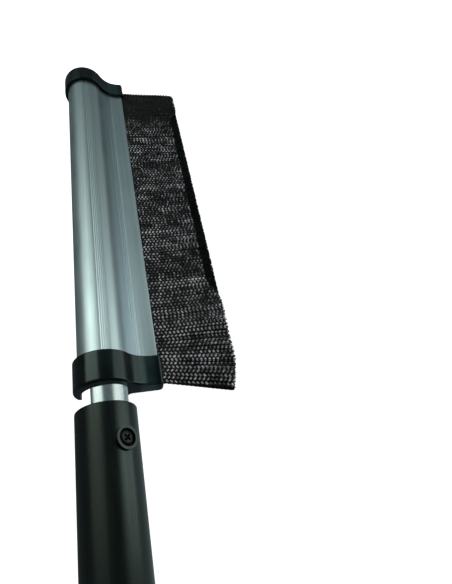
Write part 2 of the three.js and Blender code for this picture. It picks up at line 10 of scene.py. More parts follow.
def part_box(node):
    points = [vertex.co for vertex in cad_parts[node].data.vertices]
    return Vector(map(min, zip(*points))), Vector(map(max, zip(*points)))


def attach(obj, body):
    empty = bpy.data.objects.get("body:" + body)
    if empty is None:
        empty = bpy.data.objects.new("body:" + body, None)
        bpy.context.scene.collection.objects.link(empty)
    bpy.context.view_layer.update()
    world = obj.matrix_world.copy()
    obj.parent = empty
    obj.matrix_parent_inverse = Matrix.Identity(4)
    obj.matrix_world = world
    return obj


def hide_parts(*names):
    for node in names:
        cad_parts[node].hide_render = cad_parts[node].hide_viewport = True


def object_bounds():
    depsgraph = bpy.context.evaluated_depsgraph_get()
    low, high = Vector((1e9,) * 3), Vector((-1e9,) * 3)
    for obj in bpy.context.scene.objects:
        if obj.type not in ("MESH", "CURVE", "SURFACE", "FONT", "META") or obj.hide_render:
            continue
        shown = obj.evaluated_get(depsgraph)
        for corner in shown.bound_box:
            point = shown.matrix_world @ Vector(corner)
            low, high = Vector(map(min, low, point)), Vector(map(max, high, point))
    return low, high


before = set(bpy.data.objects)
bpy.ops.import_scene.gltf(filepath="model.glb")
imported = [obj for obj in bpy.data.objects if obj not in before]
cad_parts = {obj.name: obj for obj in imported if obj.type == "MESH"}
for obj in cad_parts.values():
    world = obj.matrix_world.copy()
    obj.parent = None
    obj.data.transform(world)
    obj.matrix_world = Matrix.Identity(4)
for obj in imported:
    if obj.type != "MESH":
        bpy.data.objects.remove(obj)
cad_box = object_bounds()

MM = 0.001
TOOL_AXIS = (1, 0, 0)
PAST = 1 * MM  # how far a cutter runs past the face that it opens

# ---------- places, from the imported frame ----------

HANDLE_LOW, HANDLE_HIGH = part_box("handle_shell")
GRIP_LOW, GRIP_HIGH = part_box("hand_grip")
BUTT_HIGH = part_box("butt_cap")[1]
POLE_LOW, POLE_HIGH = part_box("pole_tube")
BAR_LOW, BAR_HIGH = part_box("head_profile")
NEAR_LOW, NEAR_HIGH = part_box("near_cap")
FAR_LOW, FAR_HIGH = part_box("far_cap")
SCREW_LOW, SCREW_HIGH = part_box("lock_screw")
STRIP_LOW, STRIP_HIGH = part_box("brush_channel")
BLOCKS = [f"bristles_{i}" for i in range(1, 9)]

MOUTH = HANDLE_HIGH.x
POLE_RADIUS = (POLE_HIGH.y - POLE_LOW.y) / 2
POLE_REACH = -(POLE_HIGH.y + POLE_LOW.y) / 2
POLE_AXIS = (0, -POLE_REACH, 0)
STRIP_RISE = (STRIP_HIGH.z + STRIP_LOW.z) / 2

# handle
HANDLE_RADIUS = -HANDLE_LOW.z
HANDLE_BORE = 13.1 * MM
HANDLE_EDGE = 0.35 * MM
MOUTH_ROUND = 1.2 * MM
GRIP_SEAT = 17.3 * MM
GRIP_GAP = 0.3 * MM
GRIP_BANDS = 7
GRIP_BAND_DEPTH = 0.9 * MM
GRIP_BAND_HALF = 3.2 * MM
GRIP_BAND_STEPS = 16
GRIP_ROUND = 1 * MM
GRIP_SHOULDER = ((5 * MM, 0), (4 * MM, 0.1 * MM))  # distances from the grip's end, and how far it narrows there
GRIP_LIP = 0.4 * MM
GRIP_LIP_ROUND = 0.5 * MM
# Rings of points along the shell, which keep its faces short: up to the boss, and on either side of the boss.
RINGS_FROM, RINGS_TO_BOSS, BOSS_RINGS = 230 * MM, 12 * MM, 9.5 * MM
SHELL_SCREW_HOLE = 1.9 * MM
BUSH_RING = 13.9 * MM
BUSH_RING_FROM_MOUTH = 34.3 * MM
BUSH_RING_WIDTH = 4.6 * MM

# butt cap
BUTT_LENGTH = 27 * MM
BUTT_FACE = 13 * MM
BUTT_EDGE = 0.9 * MM
TAB_HALF = 6.5 * MM
TAB_LENGTH = 19 * MM
HANG_HOLE = 5 * MM
HANG_HOLE_ALONG = 11 * MM
BUTT_SCREW_ALONG = 36 * MM
BUTT_SCREW_HOLE = 1.35 * MM

# lock screw and boss
BOSS_ALONG = (SCREW_LOW.x + SCREW_HIGH.x) / 2
BOSS_CENTRE = (BOSS_ALONG, 0, 0)
BOSS_ANGLE = math.radians(32.5)
BOSS_OUT = (0, -math.sin(BOSS_ANGLE), math.cos(BOSS_ANGLE))
BOSS_RADIUS = 6.6 * MM
BOSS_TOP = 19.6 * MM
RECESS_RADIUS = 5.1 * MM
RECESS_FLOOR = 16.7 * MM
INSERT_HOLE = 3.7 * MM
INSERT_FLOOR = 11 * MM
SHANK = 2 * MM
SHANK_START = 15.3 * MM
SHANK_BEVEL = 0.4 * MM
SCREW_HEAD = 4.6 * MM
SCREW_SEAT = 17.5 * MM
SCREW_TOP = 19.4 * MM
SCREW_RIM = 0.7 * MM
SCREW_BEVEL = 0.2 * MM
DOME_FLAT = 0.42  # the screw head's flat middle, as a share of its radius
DOME_STEPS = 10
# The cross recess, as (height above the screw's top, half length, half width) at its floor and above its mouth.
CROSS = ((-1.5 * MM, 1.1 * MM, 0.34 * MM), (0.3 * MM, 2.75 * MM, 0.62 * MM))

# head
TUBE = BAR_HIGH.z
TUBE_BORE = TUBE - 1.6 * MM
FLANGE_END = -BAR_LOW.y
FLANGE_TOP = 0.3 * MM
FLANGE_BOTTOM = -6.3 * MM
VALLEY_ROUND = 22.4 * MM
UNDERSIDE_ROUND = 5 * MM
EDGE_ROUND = 0.6 * MM
CORNER_STEPS = 8
CROWN_FROM, CROWN_TO = math.radians(70), math.radians(94)
CROWN_GROOVES = 5
GROOVE_DEPTH = 0.22 * MM
GROOVE_STEPS = 10
VALLEY_RIBS = [math.radians(place) for place in (251.6, 247, 242.4)]
RIB_HEIGHT = 0.35 * MM
RIB_HALF = math.radians(1.3)
RIB_TOP_SHARE = 0.4  # a rib's flat top, as a share of its foot
PORT_REACH = 21 * MM
PORT_RADIUS = 1.8 * MM
SLOT_START = 27.6 * MM
SLOT_HALF = 1.8 * MM
POLE_WALL = 1.5 * MM
POLE_EDGE = 0.3 * MM

# caps
CAP_PROUD = NEAR_HIGH.z - TUBE
FLANGE_SHARE = 0.86  # how far a cap stands proud of the flange's faces, as a share
END_SHARE = 0.6
UPPER_CORNER_SHARE = 0.75
LOWER_CORNER_SHARE = 1.35
CAP_FIT = 0.3 * MM
NEAR_PLATE = 2.7 * MM
FAR_PLATE = 4.5 * MM
HOOD_DEPTH = 12 * MM
HOOD_CENTRE = (0.2 * MM, -3.6 * MM)
HOOD_RADIUS = 14.4 * MM
HOOD_FROM = math.asin(0.27)
HOOD_TO = math.pi + math.asin(4.4 / 14.4)
HOOD_BELOW = [(-25 * MM, -8 * MM), (-25 * MM, -25 * MM), (14.3 * MM, -25 * MM)]  # where its opening leaves the cap
SPIGOT_WALL = 2.7 * MM
SPIGOT_LENGTH = 9 * MM
SINK_RADIUS = 3.3 * MM
SINK_DEPTH = 1.6 * MM
SLOT_BEYOND = 45 * MM


def basis(along):
    """Three axes with the first along that direction."""
    first = Vector(along).normalized()
    second = first.orthogonal().normalized()
    return first, second, first.cross(second)


# ---------- mesh helpers ----------


def add_object(name, mesh, finish=None, crease=32):
    obj = bpy.data.objects.new(name, mesh)
    bpy.context.scene.collection.objects.link(obj)
    if finish is not None:
        mesh.materials.clear()
        mesh.materials.append(finish)
    if crease is not None:
        mesh.polygons.foreach_set("use_smooth", [True] * len(mesh.polygons))
        mesh.set_sharp_from_angle(angle=math.radians(crease))
    return obj


def mesh_from(name, verts, faces):
    """A mesh of these points and faces, with its edges."""
    mesh = bpy.data.meshes.new(name)
    mesh.from_pydata([tuple(v) for v in verts], [], faces)
    mesh.update(calc_edges=True)
    return mesh


def lofted(name, loops):
    """Skins closed loops of equal length, one after another, and closes both ends."""
    count = len(loops[0])
    verts = [point for loop in loops for point in loop]
    faces = []
    for ring in range(len(loops) - 1):
        for i in range(count):
            j = (i + 1) % count
            a, b = ring * count, (ring + 1) * count
            faces.append((a + i, a + j, b + j, b + i))
    last = (len(loops) - 1) * count
    faces.append(tuple(range(count - 1, -1, -1)))
    faces.append(tuple(range(last, last + count)))
    return mesh_from(name, verts, faces)


def extruded(name, outline, start, end, holes=()):
    """A prism along the tool from a [reach, rise] outline, with holes right through it."""
    loops = [list(outline)] + [list(hole) for hole in holes]
    verts, faces, offset = [], [], 0
    total = sum(len(loop) for loop in loops)
    for x in (start, end):
        verts += [(x, -reach, rise) for loop in loops for reach, rise in loop]
    for loop in loops:
        count = len(loop)
        for i in range(count):
            j = (i + 1) % count
            faces.append((offset + i, offset + j, total + offset + j, total + offset + i))
        offset += count
    flat = [[Vector((reach, rise, 0)) for reach, rise in loop] for loop in loops]
    for a, b, c in tessellate_polygon(flat):
        faces.append((a, b, c))
        faces.append((total + c, total + b, total + a))
    mesh = mesh_from(name, verts, faces)
    fix_normals(mesh)
    return mesh


def fix_normals(mesh):
    work = bmesh.new()
    work.from_mesh(mesh)
    bmesh.ops.recalc_face_normals(work, faces=work.faces)
    work.to_mesh(mesh)
    work.free()


def lathe(name, outline, segments=128, axis=TOOL_AXIS, origin=(0, 0, 0)):
    """Turns [radius, along] about a line.

    An outline that starts and ends at radius 0 makes a solid, and any other closes on itself.
    """
    first, second, third = basis(axis)
    origin = Vector(origin)
    verts, rings, faces = [], [], []
    for radius, along in outline:
        if radius < 1e-9:
            rings.append([len(verts)])
            verts.append(origin + first * along)
            continue
        rings.append(list(range(len(verts), len(verts) + segments)))
        for i in range(segments):
            turn = 2 * math.pi * i / segments
            verts.append(origin + first * along + (second * math.cos(turn) + third * math.sin(turn)) * radius)
    closed = outline[0][0] > 1e-9
    pairs = list(zip(rings, rings[1:])) + ([(rings[-1], rings[0])] if closed else [])
    for low, high in pairs:
        for i in range(segments):
            j = (i + 1) % segments
            if len(low) == 1 and len(high) == 1:
                continue
            if len(low) == 1:
                faces.append((low[0], high[i], high[j]))
            elif len(high) == 1:
                faces.append((low[i], high[0], low[j]))
            else:
                faces.append((low[i], high[i], high[j], low[j]))
    mesh = mesh_from(name, verts, faces)
    fix_normals(mesh)
    return mesh


def disc(radius, start, end):
    return [(0, start), (radius, start), (radius, end), (0, end)]


def ring_outline(inner, outer, start, end):
    return [(inner, start), (outer, start), (outer, end), (inner, end)]


def arc(centre, radius, start, end, steps):
    return [
        (centre[0] + radius * math.cos(start + (end - start) * i / steps),
         centre[1] + radius * math.sin(start + (end - start) * i / steps))
        for i in range(steps + 1)
    ]


def circle(centre, radius, steps):
    return arc(centre, radius, 0, 2 * math.pi, steps)[:-1]


def block(name, low, high):
    """A box between two corners."""
    outline = [(-high[1], low[2]), (-low[1], low[2]), (-low[1], high[2]), (-high[1], high[2])]
    return extruded(name, outline, low[0], high[0])


def tool_object(mesh):
    """An object that stands in the scene only while its mesh is worked on."""
    obj = bpy.data.objects.new(mesh.name, mesh)
    bpy.context.scene.collection.objects.link(obj)
    return obj


def apply_modifiers(obj):
    """Puts the modified mesh in the place of the object's own."""
    bpy.context.view_layer.update()
    depsgraph = bpy.context.evaluated_depsgraph_get()
    old = obj.data
    mesh = bpy.data.meshes.new_from_object(obj.evaluated_get(depsgraph), depsgraph=depsgraph)
    obj.modifiers.clear()
    obj.data = mesh
    mesh.name = old.name
    bpy.data.meshes.remove(old)


def combined(mesh, *steps):
    """Joins or cuts solids one after another: each step is ("UNION" or "DIFFERENCE", mesh)."""
    obj = tool_object(mesh)
    for operation, other in steps:
        tool = tool_object(other)
        change = obj.modifiers.new("boolean", "BOOLEAN")
        change.operation = operation
        change.solver = "EXACT"
        change.object = tool
        apply_modifiers(obj)
        bpy.data.objects.remove(tool)
        bpy.data.meshes.remove(other)
    result = obj.data
    bpy.data.objects.remove(obj)
    return result


def rounded(mesh, width, segments=3, angle=35):
    """Rounds every edge sharper than the angle."""
    obj = tool_object(mesh)
    bevel = obj.modifiers.new("bevel", "BEVEL")
    bevel.width = width
    bevel.segments = segments
    bevel.limit_method = "ANGLE"
    bevel.angle_limit = math.radians(angle)
    bevel.use_clamp_overlap = True
    apply_modifiers(obj)
    result = obj.data
    bpy.data.objects.remove(obj)
    return result


def even_normals(obj):
    """Keeps the shading of long faces straight, where short ones at their ends would tilt it."""
    change = obj.modifiers.new("normals", "WEIGHTED_NORMAL")
    change.keep_sharp = True
    change.weight = 50


# ---------- materials ----------

NOISE_LOW, NOISE_HIGH = 0.3, 0.7  # most of a noise texture lies between these
FULL = (1.0, 1.0, 1.0)
NONE = (0.0, 0.0, 0.0)
FINE_BUMP = 0.00003


class Finish:
    """A Principled material whose colour, roughness and bump come from procedural nodes."""

    def __init__(self, name, metallic=0.0, **sockets):
        self.material = bpy.data.materials.new(name)
        self.material.use_nodes = True
        self.tree = self.material.node_tree
        self.shader = self.tree.nodes["Principled BSDF"]
        self.shader.inputs["Metallic"].default_value = metallic
        for socket, value in sockets.items():
            self.shader.inputs[socket.replace("_", " ")].default_value = value
        self.place = self.tree.nodes.new("ShaderNodeTexCoord").outputs["Object"]

    def node(self, kind, **values):
        made = self.tree.nodes.new(kind)
        for name, value in values.items():
            setattr(made, name, value)
        return made

    def noise(self, scale, stretch=(1, 1, 1), detail=3.0, rough=0.55):
        mapping = self.node("ShaderNodeMapping")
        mapping.inputs["Scale"].default_value = stretch
        texture = self.node("ShaderNodeTexNoise")
        texture.inputs["Scale"].default_value = scale
        texture.inputs["Detail"].default_value = detail
        texture.inputs["Roughness"].default_value = rough
        self.tree.links.new(self.place, mapping.inputs["Vector"])
        self.tree.links.new(mapping.outputs["Vector"], texture.inputs["Vector"])
        return texture.outputs["Fac"]

    def cells(self, scale):
        texture = self.node("ShaderNodeTexVoronoi")
        texture.inputs["Scale"].default_value = scale
        self.tree.links.new(self.place, texture.inputs["Vector"])
        return texture.outputs["Distance"]

    def across(self, axis, low, high):
        """0 to 1 along one axis of the piece, between two places in metres."""
        parts = self.node("ShaderNodeSeparateXYZ")
        self.tree.links.new(self.place, parts.inputs["Vector"])
        return self.span(parts.outputs[axis], 0, 1, low, high)

    def brushed(self, amount):
        """Stretches the reflections across the tool, as fine lines drawn along it do."""
        cross = self.node("ShaderNodeVectorMath", operation="CROSS_PRODUCT")
        cross.inputs[1].default_value = TOOL_AXIS
        self.tree.links.new(self.node("ShaderNodeNewGeometry").outputs["Normal"], cross.inputs[0])
        self.tree.links.new(cross.outputs["Vector"], self.shader.inputs["Tangent"])
        self.shader.inputs["Anisotropic"].default_value = amount

    def ramp(self, source, stops):
        """Colours along a value; a stop is (position, colour)."""
        made = self.node("ShaderNodeValToRGB")
        for extra in range(len(stops) - 2):
            made.color_ramp.elements.new(0.5)
        for element, (position, colour) in zip(made.color_ramp.elements, stops):
            element.position = position
            element.color = (*colour, 1)
        self.tree.links.new(source, made.inputs["Fac"])
        return made.outputs["Color"]

    def between(self, source, low, high):
        """From one colour to another over a noise texture's usual range."""
        return self.ramp(source, [(NOISE_LOW, low), (NOISE_HIGH, high)])

    def specks(self, source, colour, size):
        return self.ramp(source, [(0.0, colour), (size, NONE)])

    def span(self, source, low, high, source_low=NOISE_LOW, source_high=NOISE_HIGH):
        made = self.node("ShaderNodeMapRange")
        made.inputs["From Min"].default_value = source_low
        made.inputs["From Max"].default_value = source_high
        made.inputs["To Min"].default_value = low
        made.inputs["To Max"].default_value = high
        self.tree.links.new(source, made.inputs["Value"])
        return made.outputs["Result"]

    def mixed(self, first, second, blend):
        """Two colours multiplied or added."""
        made = self.node("ShaderNodeMix", data_type="RGBA", blend_type=blend)
        factor, colour_a, colour_b, result = 0, 6, 7, 2  # the node's colour sockets, which share their names
        made.inputs[factor].default_value = 1.0
        self.tree.links.new(first, made.inputs[colour_a])
        self.tree.links.new(second, made.inputs[colour_b])
        return made.outputs[result]

    def colour(self, source):
        self.tree.links.new(source, self.shader.inputs["Base Color"])

    def roughness(self, source):
        self.tree.links.new(source, self.shader.inputs["Roughness"])

    def bump(self, source, distance, strength):
        made = self.node("ShaderNodeBump")
        made.inputs["Distance"].default_value = distance
        made.inputs["Strength"].default_value = strength
        self.tree.links.new(source, made.inputs["Height"])
        self.tree.links.new(made.outputs["Normal"], self.shader.inputs["Normal"])


# Where a band of painted shade, darker and bluer, lies along the hollow between the tube and the flange, in reach from
# the tool's axis.
HOLLOW_FROM, HOLLOW_TO = 10.5 * MM, 26 * MM
# Where a painted sheen, a pale teal band standing in for a reflection, lies along the caps' flange side.
SHEEN_FROM, SHEEN_TO = 21 * MM, 33 * MM


def make_anodised(name, rough, light, relief, brush, hollow):
    """Extruded aluminium with fine lines along it; hollow adds a band of painted shade, light scales the tones."""
    finish = Finish(name, metallic=1.0)
    lines = finish.noise(1.0, stretch=(4, 1500, 1500), detail=4, rough=0.6)
    broad = finish.noise(1.0, stretch=(3, 260, 260), detail=2)
    cloud = finish.noise(45, detail=3)
    tones = [(0.25, (0.55, 0.63, 0.62)), (0.5, (0.66, 0.73, 0.72)), (0.8, (0.76, 0.82, 0.81))]
    tone = finish.ramp(lines, [(place, tuple(part * light for part in colour)) for place, colour in tones])
    tone = finish.mixed(tone, finish.between(broad, (0.86, 0.87, 0.87), FULL), "MULTIPLY")
    if hollow:
        # Painted shade: the hollow between the tube and the flange is darkened and tinted blue.
        hollow_shade = (0.60, 0.64, 0.68)
        stops = [(0.0, FULL), (0.22, hollow_shade), (0.70, hollow_shade), (0.84, FULL)]
        band = finish.ramp(finish.across("Y", -HOLLOW_FROM, -HOLLOW_TO), stops)
        tone = finish.mixed(tone, band, "MULTIPLY")
    finish.colour(tone)
    finish.roughness(finish.span(cloud, *rough))
    finish.bump(lines, FINE_BUMP, relief)
    finish.brushed(brush)
    return finish.material


def make_gloss_black():
    finish = Finish("gloss_black_plastic", IOR=1.5)
    cloud = finish.noise(60, detail=3)
    peel = finish.noise(420, detail=2)
    # Painted sheen: a pale teal band along the flange side stands in for a reflection.
    sheen_colour = (0.016, 0.036, 0.037)
    stops = [(0.0, NONE), (0.15, sheen_colour), (0.75, sheen_colour), (1.0, NONE)]
    painted_sheen = finish.ramp(finish.across("Y", -SHEEN_FROM, -SHEEN_TO), stops)
    painted_sheen = finish.mixed(painted_sheen, finish.between(cloud, (0.4, 0.4, 0.4), FULL), "MULTIPLY")
    tone = finish.between(cloud, (0.0012, 0.0020, 0.0022), (0.0025, 0.0036, 0.0038))
    tone = finish.mixed(tone, painted_sheen, "ADD")
    finish.colour(finish.mixed(tone, finish.specks(finish.cells(700), (0.10, 0.11, 0.11), 0.035), "ADD"))
    finish.shader.inputs["Specular Tint"].default_value = (0.80, 1.0, 0.92, 1)
    finish.roughness(finish.span(cloud, 0.15, 0.24))
    finish.bump(peel, FINE_BUMP, 0.3)
    return finish.material


def make_satin_black():
    finish = Finish("satin_black_plastic", IOR=1.5)
    cloud = finish.noise(35, detail=4)
    grain = finish.noise(2600, detail=2)
    scuff = finish.noise(1.0, stretch=(30, 700, 700), detail=3)
    tone = finish.between(cloud, (0.0016, 0.0026, 0.0026), (0.0038, 0.0054, 0.0050))
    finish.colour(finish.mixed(tone, finish.specks(finish.cells(520), (0.06, 0.065, 0.065), 0.03), "ADD"))
    finish.shader.inputs["Specular Tint"].default_value = (0.86, 1.0, 0.88, 1)
    finish.roughness(finish.span(scuff, 0.26, 0.36))
    finish.bump(grain, 0.00005, 0.4)
    return finish.material


def make_rubber():
    finish = Finish("grip_rubber", IOR=1.45)
    cloud = finish.noise(40, detail=4)
    finish.colour(finish.between(cloud, (0.013, 0.013, 0.013), (0.024, 0.024, 0.023)))
    finish.roughness(finish.span(cloud, 0.68, 0.86))
    finish.bump(finish.cells(1100), 0.00012, 0.7)
    return finish.material


def make_nylon():
    finish = Finish("white_nylon", IOR=1.53)
    cloud = finish.noise(90, detail=4)
    finish.colour(finish.between(cloud, (0.62, 0.61, 0.57), (0.72, 0.71, 0.67)))
    finish.roughness(finish.span(cloud, 0.38, 0.55))
    finish.bump(finish.noise(1500), 0.00004, 0.4)
    return finish.material


def make_metal(name, dark, light, rough):
    finish = Finish(name, metallic=1.0)
    cloud = finish.noise(220, detail=4)
    grain = finish.noise(900, detail=3)
    finish.colour(finish.between(cloud, dark, light))
    finish.roughness(finish.span(grain, rough - 0.06, rough + 0.08))
    finish.bump(grain, FINE_BUMP, 0.5)
    return finish.material


def make_bristle(name, root, crest_highlight, rough):
    """Dark filaments with painted highlights on the crests of their crimp."""
    finish = Finish(name, IOR=1.52, Specular_IOR_Level=0.25)
    highlight_level = finish.node("ShaderNodeAttribute", attribute_name="crest_highlight").outputs["Fac"]
    strand = finish.noise(1.0, stretch=(700, 14, 500), detail=1)
    along = finish.noise(1.0, stretch=(240, 240, 240), detail=2)
    # Painted highlight: the tops of the crimp waves are coloured pale.
    tone = finish.ramp(highlight_level, [(0.0, root), (0.60, root), (0.88, crest_highlight)])
    tone = finish.mixed(tone, finish.between(strand, (0.5, 0.5, 0.5), FULL), "MULTIPLY")
    warm = finish.ramp(along, [(0.35, (1.0, 0.95, 0.90)), (0.65, (0.86, 0.93, 1.0))])
    finish.colour(finish.mixed(tone, warm, "MULTIPLY"))
    finish.roughness(finish.span(along, rough - 0.06, rough + 0.1))
    finish.bump(finish.noise(3000, detail=1), FINE_BUMP, 0.3)
    return finish.material


BAR_ALUMINIUM = make_anodised("anodised_aluminium", (0.33, 0.41), 1.0, 0.6, 0.5, True)
POLE_ALUMINIUM = make_anodised("anodised_pole", (0.26, 0.32), 1.15, 0.25, 0.3, False)
GLOSS_BLACK = make_gloss_black()
SATIN_BLACK = make_satin_black()
RUBBER = make_rubber()
NYLON = make_nylon()
BLACK_STEEL = make_metal("black_steel", (0.010, 0.010, 0.010), (0.030, 0.028, 0.027), 0.26)
ZINC = make_metal("zinc_steel", (0.42, 0.44, 0.46), (0.62, 0.63, 0.64), 0.32)
BRASS = make_metal("brass", (0.42, 0.30, 0.10), (0.62, 0.46, 0.18), 0.32)
# The top layer's pale colour on the crests of the crimp is a painted highlight.
BRISTLE_TOP = make_bristle("bristle", (0.002, 0.002, 0.002), (0.80, 0.79, 0.80), 0.3)
BRISTLE_UNDER = make_bristle("bristle_dark", (0.0015, 0.0015, 0.0015), (0.004, 0.004, 0.004), 0.45)


# ---------- the head's outline ----------


def steps_between(start, end, steps):
    return [start + (end - start) * i / steps for i in range(steps + 1)]


def head_outline(proud=0.0, ribs=False):
    """[reach, rise] points of the extrusion's outline, or of a cap standing proud of it."""
    tube = TUBE + proud
    top = FLANGE_TOP + proud * FLANGE_SHARE
    bottom = FLANGE_BOTTOM - proud * FLANGE_SHARE
    end = FLANGE_END + proud * END_SHARE
    valley = VALLEY_ROUND - proud
    under = UNDERSIDE_ROUND - proud
    valley_centre = (math.sqrt((tube + valley) ** 2 - (top + valley) ** 2), top + valley)
    under_centre = (math.sqrt((tube + under) ** 2 - (bottom - under) ** 2), bottom - under)
    valley_angle = math.atan2(valley_centre[1], valley_centre[0])
    under_angle = math.atan2(under_centre[1], under_centre[0])
    upper = max(EDGE_ROUND, proud * UPPER_CORNER_SHARE)
    lower = max(EDGE_ROUND, proud * LOWER_CORNER_SHARE)
    if ribs:
        crown = ribbed_crown(tube, valley_angle)
        dip = ribbed_valley(valley_centre, valley, math.pi + valley_angle)
    else:
        crown = arc((0, 0), tube, valley_angle, math.pi, 56)
        dip = arc(valley_centre, valley, 1.5 * math.pi, math.pi + valley_angle, 24)[:-1]
    belly = arc((0, 0), tube, math.pi, 2 * math.pi + under_angle, 44)[1:]
    underside = arc(under_centre, under, math.pi + under_angle, math.pi / 2, 12)[1:]
    lower_corner = arc((end - lower, bottom + lower), lower, -math.pi / 2, 0, CORNER_STEPS)
    upper_corner = arc((end - upper, top - upper), upper, 0, math.pi / 2, CORNER_STEPS)
    return crown + belly + underside + lower_corner + upper_corner + dip


def ribbed_crown(tube, start):
    """The tube's upper side, with fine grooves along its top."""
    before = steps_between(start, CROWN_FROM, 24)[:-1]
    marks = steps_between(CROWN_FROM, CROWN_TO, GROOVE_STEPS * CROWN_GROOVES)
    after = steps_between(CROWN_TO, math.pi, 36)[1:]
    points = []
    for angle in before + marks + after:
        turn = 2 * math.pi * CROWN_GROOVES * (angle - CROWN_FROM) / (CROWN_TO - CROWN_FROM)
        inside = CROWN_FROM <= angle <= CROWN_TO
        depth = GROOVE_DEPTH * (0.5 - 0.5 * math.cos(turn)) if inside else 0
        points.append(((tube - depth) * math.cos(angle), (tube - depth) * math.sin(angle)))
    return points


def ribbed_valley(centre, radius, end):
    """The hollow between the tube and the flange, with its low ribs."""
    foot, top = RIB_HALF, RIB_HALF * RIB_TOP_SHARE
    marks = []
    for place in VALLEY_RIBS:
        marks += [(place + foot, 0), (place + top, RIB_HEIGHT), (place - top, RIB_HEIGHT), (place - foot, 0)]
    before = steps_between(1.5 * math.pi, marks[0][0], 3)[:-1]
    after = steps_between(marks[-1][0], end, 12)[1:-1]
    points = [(angle, 0) for angle in before] + marks + [(angle, 0) for angle in after]
    return [
        (centre[0] + (radius - height) * math.cos(angle), centre[1] + (radius - height) * math.sin(angle))
        for angle, height in points
    ]


def slotted(outline):
    """Cuts the brush slot into the flange's end."""
    low, high = STRIP_RISE - SLOT_HALF, STRIP_RISE + SLOT_HALF
    result = []
    for i, point in enumerate(outline):
        result.append(point)
        following = outline[(i + 1) % len(outline)]
        at_end = min(point[0], following[0]) > FLANGE_END - 1e-6
        if at_end and following[1] - point[1] > 2 * SLOT_HALF:
            result += [(FLANGE_END, low), (SLOT_START, low), (SLOT_START, high), (FLANGE_END, high)]
    return result


def at_x(outline, x):
    return [(x, -reach, rise) for reach, rise in outline]


# ---------- the handle ----------


def make_handle_shell():
    outline = [(0, HANDLE_LOW.x), (GRIP_SEAT, HANDLE_LOW.x), (GRIP_SEAT, GRIP_HIGH.x + GRIP_GAP)]
    outline += [(HANDLE_RADIUS, GRIP_HIGH.x + GRIP_GAP)]
    outline += [(HANDLE_RADIUS, x) for x in np.linspace(RINGS_FROM, BOSS_ALONG - RINGS_TO_BOSS, 6)]
    outline += [(HANDLE_RADIUS, x) for x in np.linspace(BOSS_ALONG - BOSS_RINGS, BOSS_ALONG + BOSS_RINGS, 14)]
    outline += arc((HANDLE_RADIUS - MOUTH_ROUND, MOUTH - MOUTH_ROUND), MOUTH_ROUND, 0, math.pi / 2, 10)
    outline += [(0, MOUTH)]
    bore_start, bore_end = HANDLE_LOW.x - 10 * MM, MOUTH + 10 * MM
    groove = MOUTH - BUSH_RING_FROM_MOUTH
    bore = [
        (0, bore_start), (HANDLE_BORE, bore_start), (HANDLE_BORE, groove),
        (BUSH_RING, groove), (BUSH_RING, groove + BUSH_RING_WIDTH), (HANDLE_BORE, groove + BUSH_RING_WIDTH),
        (HANDLE_BORE, bore_end), (0, bore_end),
    ]
    boss = disc(BOSS_RADIUS, HANDLE_BORE, BOSS_TOP)
    recess = disc(RECESS_RADIUS, RECESS_FLOOR, BOSS_TOP + 2 * MM)
    insert_hole = disc(INSERT_HOLE, INSERT_FLOOR, RECESS_FLOOR + 0.1 * MM)
    screw_hole = disc(SHELL_SCREW_HOLE, 5 * MM, 30 * MM)
    mesh = combined(
        lathe("handle_body", outline, 144),
        ("UNION", lathe("boss", boss, 72, BOSS_OUT, BOSS_CENTRE)),
        ("DIFFERENCE", lathe("bore", bore, 96, origin=POLE_AXIS)),
        ("DIFFERENCE", lathe("recess", recess, 64, BOSS_OUT, BOSS_CENTRE)),
        ("DIFFERENCE", lathe("insert_hole", insert_hole, 40, BOSS_OUT, BOSS_CENTRE)),
        ("DIFFERENCE", lathe("screw_hole", screw_hole, 24, (0, 0, -1), (BUTT_SCREW_ALONG, 0, 0))),
    )
    obj = add_object("handle_shell_fine", rounded(mesh, HANDLE_EDGE), SATIN_BLACK)
    even_normals(obj)
    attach(obj, "handle")
    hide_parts("handle_shell")


def make_grip():
    start, end = GRIP_LOW.x, GRIP_HIGH.x
    radius = GRIP_HIGH.z
    pitch = (end - start) / GRIP_BANDS
    outline = [(GRIP_SEAT + GRIP_GAP, start)]
    outline += arc((radius - GRIP_ROUND, start + GRIP_ROUND), GRIP_ROUND, -math.pi / 2, 0, 6)
    for i in range(1, GRIP_BANDS):
        middle = start + i * pitch
        for place in steps_between(-1, 1, GRIP_BAND_STEPS):
            dip = GRIP_BAND_DEPTH * (0.5 + 0.5 * math.cos(math.pi * place)) ** 0.6
            outline.append((radius - dip, middle + place * GRIP_BAND_HALF))
    outline += [(radius - depth, end - before) for before, depth in GRIP_SHOULDER]
    lip = (HANDLE_RADIUS + GRIP_LIP - GRIP_LIP_ROUND, end - GRIP_LIP_ROUND)
    outline += arc(lip, GRIP_LIP_ROUND, 0, math.pi / 2, 4)
    outline += [(GRIP_SEAT + GRIP_GAP, end)]
    obj = add_object("hand_grip_fine", lathe("hand_grip_fine", outline), RUBBER, crease=40)
    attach(obj, "handle")
    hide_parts("hand_grip")


